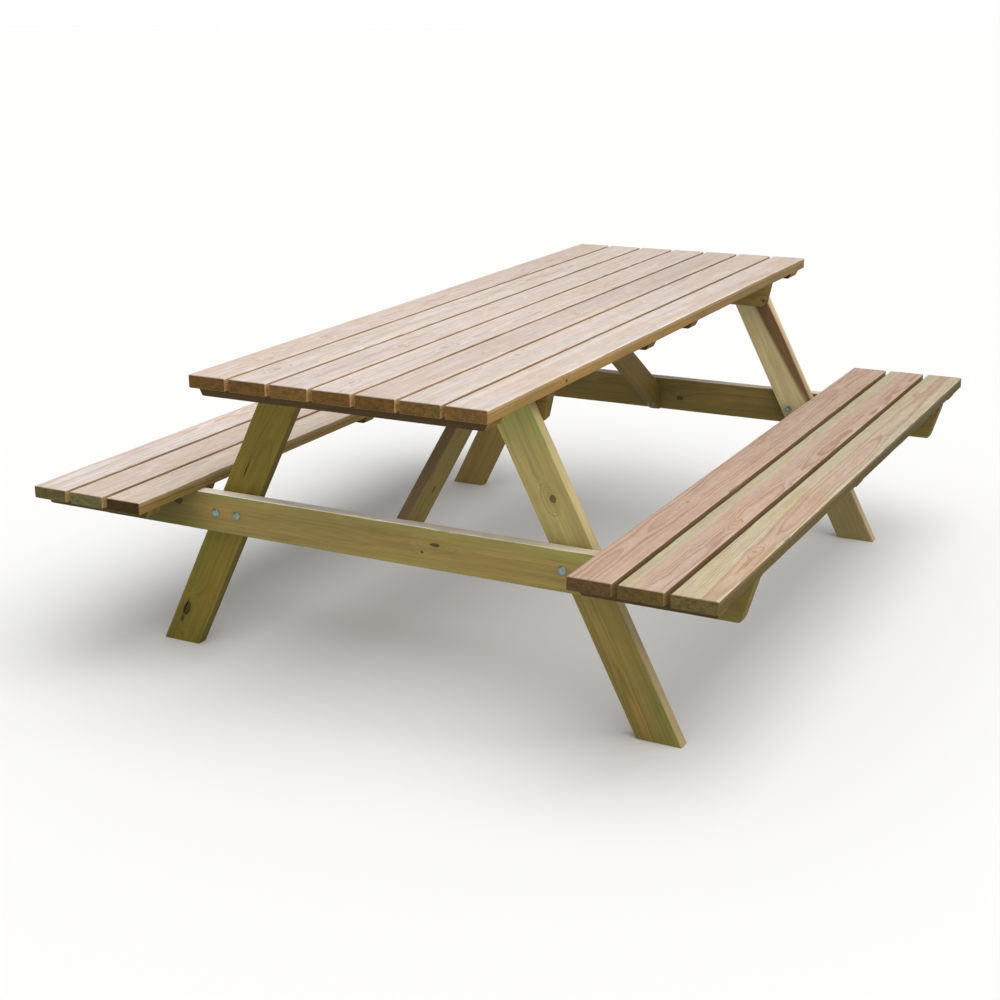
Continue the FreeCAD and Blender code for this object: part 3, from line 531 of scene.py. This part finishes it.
def cut_from_log(look, axes, dice):
    """Where the pith of the log lies beside the board, its drift, the ring gap and the heartwood's radius."""
    pith = (0.0, dice.uniform(-0.035, 0.035), dice.choice((-1, 1)) * dice.uniform(0.028, 0.075))
    lean = (0.0, dice.uniform(-0.014, 0.014), dice.uniform(-0.012, 0.012))
    gap = dice.uniform(0.0026, 0.0042)
    heart = dice.uniform(0.035, 0.085)
    if "pith" in look:
        pith = tuple(axis.dot(Vector(look["pith"])) for axis in axes)
        heart = look["heart_mm"] * MM
        drift = Vector(look.get("drift", (0.0, 0.0, 0.0))) * (1 if sum(axes[0]) > 0 else -1)
        lean = tuple(axis.dot(drift) for axis in axes)
    return pith, lean, gap, heart


def knots_of(node, middle, axes, half, dice):
    """The knots that show, or some at random: place, radius, swell, stretch, whether it is in an edge."""
    knots = []
    for spot, size, lift, stretch in SHOWN_KNOTS.get(node, []):
        local = Vector(axis.dot(Vector(spot) - middle) for axis in axes)
        on_edge = abs(local[1]) / half[1] > abs(local[2]) / half[2]
        knots.append((local, size * MM, lift * MM, stretch, on_edge))
    is_long = half[0] > 0.5
    for _ in range(dice.choice((1, 2, 2, 3)) if is_long else dice.choice((0, 1))):
        local = Vector((dice.uniform(-0.85, 0.85) * half[0], dice.uniform(-0.7, 0.7) * half[1], 0.0))
        size = dice.uniform(3.0, 7.0)
        if node not in SHOWN_KNOTS:
            knots.append((local, size * MM, size * 1.9 * MM, dice.uniform(1.1, 1.5), False))
    return knots


def add_knots(t, knots, grain, seed, dice):
    """What all knots of a board do together, by the name of the pine group's input."""
    totals = {"Bulge": 0.0, "Core": 0.0, "Rim": 0.0, "Rings": 0.0}
    for local, size, lift, stretch, on_edge in knots:
        branch = t.add("Group", node_tree=KNOT)
        tip = dice.uniform(-0.35, 0.35), dice.uniform(-0.2, 0.2)
        axis = Vector((tip[0], 1.0, tip[1]) if on_edge else (*tip, 1.0)).normalized()
        for label, value in (("Grain", grain), ("Centre", local), ("Axis", axis), ("Radius", size),
                             ("Stretch", stretch), ("Lift", lift), ("Seed", seed)):
            t.plug(branch.inputs[label], value)
        for label in totals:
            join = "ADD" if label == "Bulge" else "MAXIMUM"
            totals[label] = t.math(join, totals[label], branch.outputs[label])
    return totals


def local_tones(t, node, look, place, normal, side):
    """The board's colours, with painted light on the sides that face a gap between planks, and changed where
    the list of painted shade and tints says.
    """
    tones = {key: look[key] for key in ("heart", "sap", "top_heart", "top_sap")}
    if "gap" in look:
        # painted light: the sides that face a gap between planks get a brighter colour against the shade in
        # the gap
        gap_side_light = t.smooth(side, 0.3, 0.7)
        if node in OPEN_SIDE:
            inward = t.times(t.split(normal)[0], -OPEN_SIDE[node])
            gap_side_light = t.times(gap_side_light, t.smooth(inward, -0.2, 0.2))
        for part in ("heart", "sap"):
            tones[part] = t.mix(gap_side_light, tones[part], look["gap"])
    for key, kind, number, start, stop, tint in SHADE_AND_TINTS:
        if key in node:
            amount = t.smooth(t.split(place)[number], start, stop)
            for part in tones:
                if part.startswith("top") == (kind == "top"):
                    tones[part] = t.tint(amount, tones[part], tint)
    return tones


def wood_material(node, dice):
    """The pine of one board, in its own grain directions and with its own knots, tones and faces."""
    look = {**FINISH[SLOT_OF[node]], **OWN_TONE.get(node, {})}
    middle, axes, half = board_axes(node)
    material = bpy.data.materials.new("wood_" + node)
    material.use_nodes = True
    t = Tree(material.node_tree)
    shader = material.node_tree.nodes["Principled BSDF"]
    place = t.add("TexCoord").outputs["Object"]
    mapping = t.add("Mapping", vector_type="TEXTURE")
    t.plug(mapping.inputs["Vector"], place)
    mapping.inputs["Location"].default_value = middle
    mapping.inputs["Rotation"].default_value = Matrix(axes).transposed().to_euler()
    grain = mapping.outputs[0]

    # which way a face looks: ends, arrises, upper faces and undersides
    normal = t.add("NewGeometry").outputs["Normal"]
    facing = [t.math("ABSOLUTE", t.vector("DOT_PRODUCT", normal, axis)) for axis in axes]
    end = t.smooth(facing[0], 0.55, 0.85)
    flat = t.math("MAXIMUM", facing[0], t.math("MAXIMUM", facing[1], facing[2]))
    edge = t.smooth(flat, 0.985, 0.86)
    up = t.split(normal)[2]
    top = t.smooth(up, 0.12, 0.72)
    # how far the undersides are darkened, partly unbleached wood and partly painted shade
    under = t.times(t.smooth(up, -0.15, -0.60), look.get("under", 1.0))
    if "crossbeam" in node:
        # painted shade: the beam's tips, in the seats' shade, lose the pale upper-face colour
        reach = t.math("ABSOLUTE", t.split(place)[0])
        top = t.times(top, t.smooth(reach, 0.62, 0.50))
    if "plank" in node:
        # the pale upper-face colour runs a little way down the plank's sides: partly bleaching, partly
        # painted light on the sides' upper part
        depth = t.minus(middle.z + half[2], t.split(place)[2])
        side_bleach_and_light = t.times(t.smooth(depth, 0.013, 0.002), 0.20)
        top = t.math("MAXIMUM", top, t.times(side_bleach_and_light, t.smooth(up, -0.2, 0.0)))

    seed = dice.uniform(0, 90)
    pith, lean, gap, heart = cut_from_log(look, axes, dice)
    knots = knots_of(node, middle, axes, half, dice)
    swells = add_knots(t, knots, grain, seed, dice)
    tones = local_tones(t, node, look, place, normal, facing[1])

    pine = t.add("Group", node_tree=PINE)
    for label, value in (
            ("Grain", grain), ("Pith", pith), ("Lean", lean), ("Gap", gap), ("Heart radius", heart),
            ("Seed", seed), ("End", end), ("Top", top), ("Under", under), ("Edge", edge),
            ("Heart", tones["heart"]), ("Sap", tones["sap"]), ("Top heart", tones["top_heart"]),
            ("Top sap", tones["top_sap"]), ("End grain", look["end"]), ("Figure", look["figure"]),
            ("Stain", look["stain"]), *swells.items()):
        t.plug(pine.inputs[label], value)
    bump = t.add("Bump")
    bump.inputs["Distance"].default_value = 1.0
    bump.inputs["Strength"].default_value = 0.8
    t.plug(bump.inputs["Height"], pine.outputs["Height"])
    t.plug(shader.inputs["Base Color"], pine.outputs["Color"])
    t.plug(shader.inputs["Roughness"], pine.outputs["Roughness"])
    t.plug(shader.inputs["Normal"], bump.outputs["Normal"])
    shader.inputs["IOR"].default_value = 1.5
    shader.inputs["Specular IOR Level"].default_value = 0.13 if "plank" in node else 0.18
    return material


def metal_material(name, colour, roughness, mottle):
    """A zinc coat, mottled from bright to dull, with mottle as its detail for each metre."""
    material = bpy.data.materials.new(name)
    material.use_nodes = True
    t = Tree(material.node_tree)
    shader = material.node_tree.nodes["Principled BSDF"]
    place = t.add("TexCoord").outputs["Object"]
    grain = t.noise(place, (mottle,) * 3, 3.0, 0.6, 1.0)
    fine = t.noise(place, (mottle * 6,) * 3, 2.0, 0.5, 4.0)
    dull = tuple(c * 0.55 for c in colour)
    t.plug(shader.inputs["Base Color"], t.mix(t.smooth(grain, 0.35, 0.7), colour, dull))
    t.plug(shader.inputs["Roughness"], t.math("MULTIPLY_ADD", fine, 0.25, roughness))
    bump = t.add("Bump")
    bump.inputs["Distance"].default_value = 1.0
    bump.inputs["Strength"].default_value = 0.5
    t.plug(bump.inputs["Height"], t.math("MULTIPLY", grain, 0.0003))
    t.plug(shader.inputs["Normal"], bump.outputs["Normal"])
    shader.inputs["Metallic"].default_value = 1.0
    return material


def dress(node, material):
    """Gives a CAD node its material."""
    mesh = NODES[node].data
    mesh.materials.clear()
    mesh.materials.append(material)
    for face in mesh.polygons:
        face.material_index = 0


def finished(name, mesh, material, angle, *nodes):
    """Makes a mesh into a piece that stands for the CAD nodes."""
    mesh.materials.clear()
    mesh.materials.append(material)
    mesh.polygons.foreach_set("use_smooth", [True] * len(mesh.polygons))
    mesh.set_sharp_from_angle(angle=math.radians(angle))
    piece = bpy.data.objects.new(name, mesh)
    SCENE.collection.objects.link(piece)
    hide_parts(*nodes)
    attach(piece, "root")


# ---------------------------------------------------------------- fasteners

LATHE_SIDES = 36
# Radii and pitches of the M8 carriage bolts and of the timber screws, in metres.
BOLT_HEAD, BOLT_SHANK, BOLT_ROOT, BOLT_PITCH = 0.0103, 0.0040, 0.0034, 0.00125
BOLT_DOME_RISE = 0.0039
SCREW_SHANK, SCREW_ROOT, SCREW_CREST, SCREW_PITCH = 0.0018, 0.0016, 0.00248, 0.0030


@functools.cache
def solids_of(node):
    """The points of each separate solid of a CAD node."""
    bm = bmesh.new()
    bm.from_mesh(NODES[node].data)
    bmesh.ops.remove_doubles(bm, verts=bm.verts, dist=1e-6)
    left = dict.fromkeys(bm.verts)
    groups = []
    while left:
        queue = [left.popitem()[0]]
        group = []
        while queue:
            vert = queue.pop()
            group.append(vert.co.copy())
            for edge in vert.link_edges:
                other = edge.other_vert(vert)
                if other in left:
                    del left[other]
                    queue.append(other)
        groups.append(np.array(group))
    bm.free()
    return sorted(groups, key=lambda g: tuple(g.mean(0).round(4)))


def axis_of(points):
    """Where a fastener's head is, the direction from its head to its tip, and its length."""
    middle = points.mean(0)
    _, _, rows = np.linalg.svd(points - middle)
    axis = rows[0]
    reach = (points - middle) @ axis
    spread = np.linalg.norm((points - middle) - np.outer(reach, axis), axis=1)
    if reach[spread.argmax()] > 0:
        axis, reach = -axis, -reach
    low, high = reach.min(), reach.max()
    centre = (points[reach < low + 1e-4].mean(0) + points[reach > high - 1e-4].mean(0)) / 2
    if abs(axis).max() > 0.999:
        axis = axis.round()
    return Vector(centre - axis * (high - low) / 2), Vector(axis), high - low


def lathe(rows, place, axis, spin=0.0):
    """Rings of points about an axis. A row is a distance along it and a function from angle to radius."""
    turn = Vector((0, 0, 1)).rotation_difference(axis).to_matrix()
    sides = LATHE_SIDES
    points, faces = [], []
    for along, radius in rows:
        for i in range(sides):
            angle = 2 * math.pi * i / sides
            r = radius(angle) if callable(radius) else radius
            turned = angle + spin
            points.append(place + turn @ Vector((r * math.cos(turned), r * math.sin(turned), along)))
    for j in range(len(rows) - 1):
        for i in range(sides):
            k = (i + 1) % sides
            faces.append((j * sides + i, j * sides + k, (j + 1) * sides + k, (j + 1) * sides + i))
    faces.append(tuple(range(sides))[::-1])
    faces.append(tuple((len(rows) - 1) * sides + i for i in range(sides)))
    return points, faces


def thread_rows(start, stop, root, crest, pitch):
    """Rings that a screw thread winds round, its depth fading in at the start."""
    rows = []
    steps = int((stop - start) / pitch * 6)
    for j in range(steps + 1):
        along = start + (stop - start) * j / steps
        grow = min(1.0, (along - start) / (2 * pitch) + 0.01)

        def radius(angle, along=along, grow=grow):
            phase = (along / pitch - angle / (2 * math.pi)) % 1.0
            ridge = max(0.0, 1.0 - abs(phase - 0.5) * 2.6)
            return root + (crest - root) * ridge * grow
        rows.append((along, radius))
    return rows


def mesh_of(name, parts):
    """One mesh of several bodies, each given as its points and faces."""
    points, faces = [], []
    for more, loops in parts:
        faces += [tuple(i + len(points) for i in loop) for loop in loops]
        points += more
    mesh = bpy.data.meshes.new(name)
    mesh.from_pydata([tuple(p) for p in points], [], faces)
    return mesh


def finish_fasteners(name, parts, material, angle, node):
    mesh = mesh_of("fasteners", parts)
    mesh.validate()
    finished(name, mesh, material, angle, node)


def make_bolts(material):
    """M8 carriage bolts: a low dome, a plain shank and a rolled thread that runs out past the nut."""
    parts = []
    for solid in solids_of("carriage_bolts"):
        head, axis, length = axis_of(solid)
        rows = [(0.00005, 0.0012)]
        for step in range(1, 9):
            tilt = math.radians(90 * step / 8.6)
            rows.append((BOLT_DOME_RISE * (1 - math.cos(tilt)), BOLT_HEAD * math.sin(tilt)))
        rows += [(0.0040, BOLT_HEAD), (0.0046, 0.0102), (0.0046, 0.0042)]
        rows += [(0.0049, BOLT_SHANK), (0.040, BOLT_SHANK)]
        rows += thread_rows(0.0402, length - 0.0012, BOLT_ROOT, BOLT_SHANK, BOLT_PITCH)
        rows += [(length - 0.0008, 0.0033), (length, 0.0027)]
        parts.append(lathe(rows, head, axis))
    finish_fasteners("carriage_bolts_threaded", parts, material, 40, "carriage_bolts")


def make_screws(node, material, dice):
    """Countersunk timber screws: a six-lobed socket in each head, and a coarse thread."""
    def star(size):
        return lambda angle: size * (1.0 + 0.20 * math.cos(6 * angle))

    socket = [(0.0017, star(0.0012)), (0.0016, star(0.0019)),
              (0.00025, star(0.0021)), (0.00004, star(0.00228))]
    flange = [(0.00002, 0.0042), (0.00025, 0.00448), (0.0006, 0.0044), (0.0026, 0.0024)]
    parts = []
    for solid in solids_of(node):
        head, axis, length = axis_of(solid)
        rows = socket + flange + [(0.004, SCREW_SHANK), (0.010, SCREW_SHANK)]
        rows += thread_rows(0.0102, length - 0.006, SCREW_ROOT, SCREW_CREST, SCREW_PITCH)
        rows += [(length - 0.004, 0.0012), (length - 0.0002, 0.0003)]
        parts.append(lathe(rows, head, axis, dice.uniform(0, 1)))
    finish_fasteners(node + "_detailed", parts, material, 35, node)


# ---------------------------------------------------------------- boards

ARRIS = 2.4 * MM
EASED_END = 1.3 * MM
CORNER_POINTS, SIDE_POINTS = 5, 4
# Bores, in metres: their radii, how far below a head they start, and how near a fastener has to be.
BOLT_BORE, SCREW_BORE = 0.0041, 0.0025
BORE_START, NEAR = 0.0045, 0.03


def envelope(points, sign):
    """The high (1) or low (-1) side of the convex outline of (x, y) points, as x against y."""
    best = {}
    for x, y in points:
        key = round(float(y), 5)
        best[key] = max(best.get(key, -math.inf), sign * float(x))
    chain = []
    for p in sorted(best.items()):
        while len(chain) > 1:
            a, b = chain[-2:]
            if (b[0] - a[0]) * (p[1] - a[1]) < (b[1] - a[1]) * (p[0] - a[0]):
                break
            chain.pop()
        chain.append(p)
    ys, xs = zip(*chain)
    return lambda y: sign * float(np.interp(y, ys, xs))


# Drying cracks that show: where each starts and ends on the object, its width and its depth in mm.
SHOWN_CRACKS = {
    "left_leg_front": [((-0.3925, -0.753, 0.493), (-0.4155, -0.753, 0.447), 3.2, 9.0),
                       ((-0.5940, -0.753, 0.122), (-0.6240, -0.753, 0.062), 3.0, 8.0),
                       ((-0.6290, -0.753, 0.052), (-0.6600, -0.753, -0.010), 2.6, 8.0)],
}


def board_cracks(node, dice, middle, axes, half):
    """Cracks as (y, face sign, x start, x end, width, depth): those that show, and small ones in the ends."""
    cracks = []
    for start, end, wide, deep in SHOWN_CRACKS.get(node, []):
        a, b = (Vector(axis.dot(Vector(p) - middle) for axis in axes) for p in (start, end))
        low, high = sorted((a[0], b[0]))
        cracks.append(((a[1] + b[1]) / 2, 1 if a[2] > 0 else -1, low, high, wide * MM, deep * MM))
    for tip in (-1, 1):
        for _ in range(dice.choice((0, 1, 1, 2))):
            y = dice.uniform(-0.7, 0.7) * half[1]
            run = dice.uniform(0.018, 0.075)
            span = sorted((tip * (half[0] + 0.03), tip * (half[0] - run)))
            face = dice.choice((-1, 1))
            wide = dice.uniform(0.6, 1.3) * MM
            deep = dice.uniform(3.0, 9.0) * MM
            cracks.append((y, face, *span, wide, deep))
    taken = []
    for crack in sorted(cracks):
        clear = all(abs(crack[0] - other[0]) > 0.004 for other in taken)
        if clear and abs(crack[0]) < half[1] - 0.008:
            taken.append(crack)
    return taken


def drill(mesh, node):
    """Cuts the holes of the bolts and screws that pass through the board."""
    box = np.array(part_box(node))
    bores = []
    for name in sorted(NODES):
        if not name.endswith(("screws", "bolts")):
            continue
        for solid in solids_of(name):
            middle = solid.mean(0)
            if (middle > box[0] - NEAR).all() and (middle < box[1] + NEAR).all():
                head, axis, length = axis_of(solid)
                wide = BOLT_BORE if name == "carriage_bolts" else SCREW_BORE
                bores.append(lathe([(BORE_START, wide), (length, wide)], head, axis))
    if not bores:
        return mesh
    drills = mesh_of("drills", bores)
    pair = [bpy.data.objects.new(name, data) for name, data in (("blank", mesh), ("drills", drills))]
    for item in pair:
        SCENE.collection.objects.link(item)
    cut = pair[0].modifiers.new("cut", "BOOLEAN")
    cut.operation = "DIFFERENCE"
    cut.solver = "EXACT"
    cut.object = pair[1]
    seen = pair[0].evaluated_get(bpy.context.evaluated_depsgraph_get())
    result = bpy.data.meshes.new_from_object(seen)
    for item in pair:
        bpy.data.objects.remove(item)
    return result


def board_section(hy, hz, cracks):
    """The section, once round: y, z, outward normal, how much of an arris it is, crack and its part.
    With it comes how many of its points lie on the upper face."""
    flat_y, flat_z = hy - ARRIS, hz - ARRIS
    count = max(4, round(flat_y * 2 / 0.008))
    ys = [(-1 + 2 * i / count) * flat_y for i in range(count + 1)]
    ys = [y for y in ys if all(abs(y - c[0]) > 0.002 for c in cracks)]
    columns = sorted([(y, None, 0) for y in ys] + [(c[0], c, k) for c in cracks for k in (-1, 0, 1)],
                     key=lambda item: (item[0], item[2]))
    section = []

    def face(sz, order):
        for y, crack, k in order:
            section.append((y, sz * hz, (0, sz), 0.0, crack if crack and crack[1] == sz else None, k))

    def corner(sy, sz, first):
        for i in range(1, CORNER_POINTS + 1):
            angle = math.radians(first - 15 * i)
            n = (math.cos(angle), math.sin(angle))
            section.append((sy * flat_y + ARRIS * n[0], sz * flat_z + ARRIS * n[1], n,
                            1.0 - abs(i - 3) / 3.0, None, 0))

    def side(sy):
        for z in (0.9, 0.3, -0.3, -0.9):
            section.append((sy * hy, sy * z * flat_z, (sy, 0), 0.0, None, 0))

    face(1, columns)
    corner(1, 1, 90)
    side(1)
    corner(1, -1, 0)
    face(-1, columns[::-1])
    corner(-1, -1, -90)
    side(-1)
    corner(-1, 1, -180)
    return section, len(columns)


def wear(x, y, z, arris, seed):
    """How far the surface lies inside the sawn shape, in mm: slight waves, and wear along the arrises."""
    wave = 0.13 + 0.12 * noise.noise(Vector((x * 4, y * 9, z * 30 + seed)))
    side = math.copysign(3.0, y) + math.copysign(1.0, z)
    worn = max(0.0, noise.noise(Vector((x * 11, side, seed))) + 0.15) ** 1.5 * 2.2
    worn += max(0.0, noise.noise(Vector((x * 60, side, seed + 9)))) * 0.5
    return wave + arris * worn


def opening(x, start, stop, hx):
    """How open a crack is at x, from 0 to 1. One that runs out of the board's end is widest there."""
    share = min(max((x - start) / (stop - start), 0.0), 1.0)
    if start < -hx:
        return max(0.0, 1 - share) ** 0.7
    if stop > hx:
        return share ** 0.7
    return math.sin(math.pi * share) ** 0.6


def end_cap(start, width, size):
    """Closes an end with strips between the upper and lower faces, and one face for each rounded side."""
    bottom = width + 2 * CORNER_POINTS + SIDE_POINTS
    last = start + bottom + width - 1
    strips = [(start + i, start + i + 1, last - 1 - i, last - i) for i in range(width - 1)]
    right = tuple(start + i for i in range(width - 1, bottom + 1))
    left = tuple(start + i for i in range(bottom + width - 1, size)) + (start,)
    return [*strips, right, left]


def make_board(node, material, dice):
    """The sawn board with unevenly worn edges, slight waves in its faces, eased ends and drying cracks."""
    middle, axes, half = board_axes(node)
    hx, hy, hz = half
    local = np.array([[axis.dot(v.co - middle) for axis in axes] for v in NODES[node].data.vertices])
    low = envelope(local[:, :2], -1)
    high = envelope(local[:, :2], 1)
    section, width = board_section(hy, hz, board_cracks(node, dice, middle, axes, half))

    seed = dice.uniform(0, 500)
    steps = max(6, round(hx * 2 / 0.018))
    stations = [(0.0, True)] + [(i / steps, False) for i in range(steps + 1)] + [(1.0, True)]
    points = []
    for u, tip in stations:
        for y, z, n, arris, crack, part in section:
            first, last = low(y), high(y)
            x = first + u * (last - first)
            inward = wear(x, y, z, arris, seed) * MM + (EASED_END if tip else 0.0)
            py, pz = y - n[0] * inward, z - n[1] * inward
            if crack:
                _, face, start, stop, wide, deep = crack
                gape = opening(x, start, stop, hx)
                wander = 1.1 * MM * noise.noise(Vector((x * 30, seed, 5.0)))
                py += wander + part * max(wide * gape / 2, 0.05 * MM)
                if part == 0:
                    pz -= face * deep * gape
            first, last = low(py), high(py)
            x = first + u * (last - first)
            if not tip:
                x = min(max(x, first + EASED_END), last - EASED_END)
            points.append(middle + axes[0] * x + axes[1] * py + axes[2] * pz)

    size = len(section)
    faces = []
    for j in range(len(stations) - 1):
        for i in range(size):
            k = (i + 1) % size
            faces.append((j * size + i, (j + 1) * size + i, (j + 1) * size + k, j * size + k))
    faces += end_cap(0, width, size)
    faces += [cap[::-1] for cap in end_cap((len(stations) - 1) * size, width, size)]
    mesh = mesh_of("board", [(points, faces)])
    mesh.validate()
    finished("board_" + node, drill(mesh, node), material, 38, node)


make_camera()
make_light()
make_floor()

METAL = {
    "galvanised_steel": metal_material("galvanised_steel", (0.29, 0.385, 0.355), 0.36, 260.0),
    "screw_steel": metal_material("zinc_screw_steel", (0.42, 0.35, 0.20), 0.36, 340.0),
}
for index, name in enumerate(sorted(NODES)):
    dice = random.Random(100 + index)
    if SLOT_OF[name] in METAL:
        dress(name, METAL[SLOT_OF[name]])
        if name.endswith("screws"):
            make_screws(name, METAL["screw_steel"], dice)
        elif name == "carriage_bolts":
            make_bolts(METAL["galvanised_steel"])
        continue
    wood = wood_material(name, dice)
    dress(name, wood)
    if "plank" in name or "leg_" in name or "crossbeam" in name:
        make_board(name, wood, random.Random(400 + index))
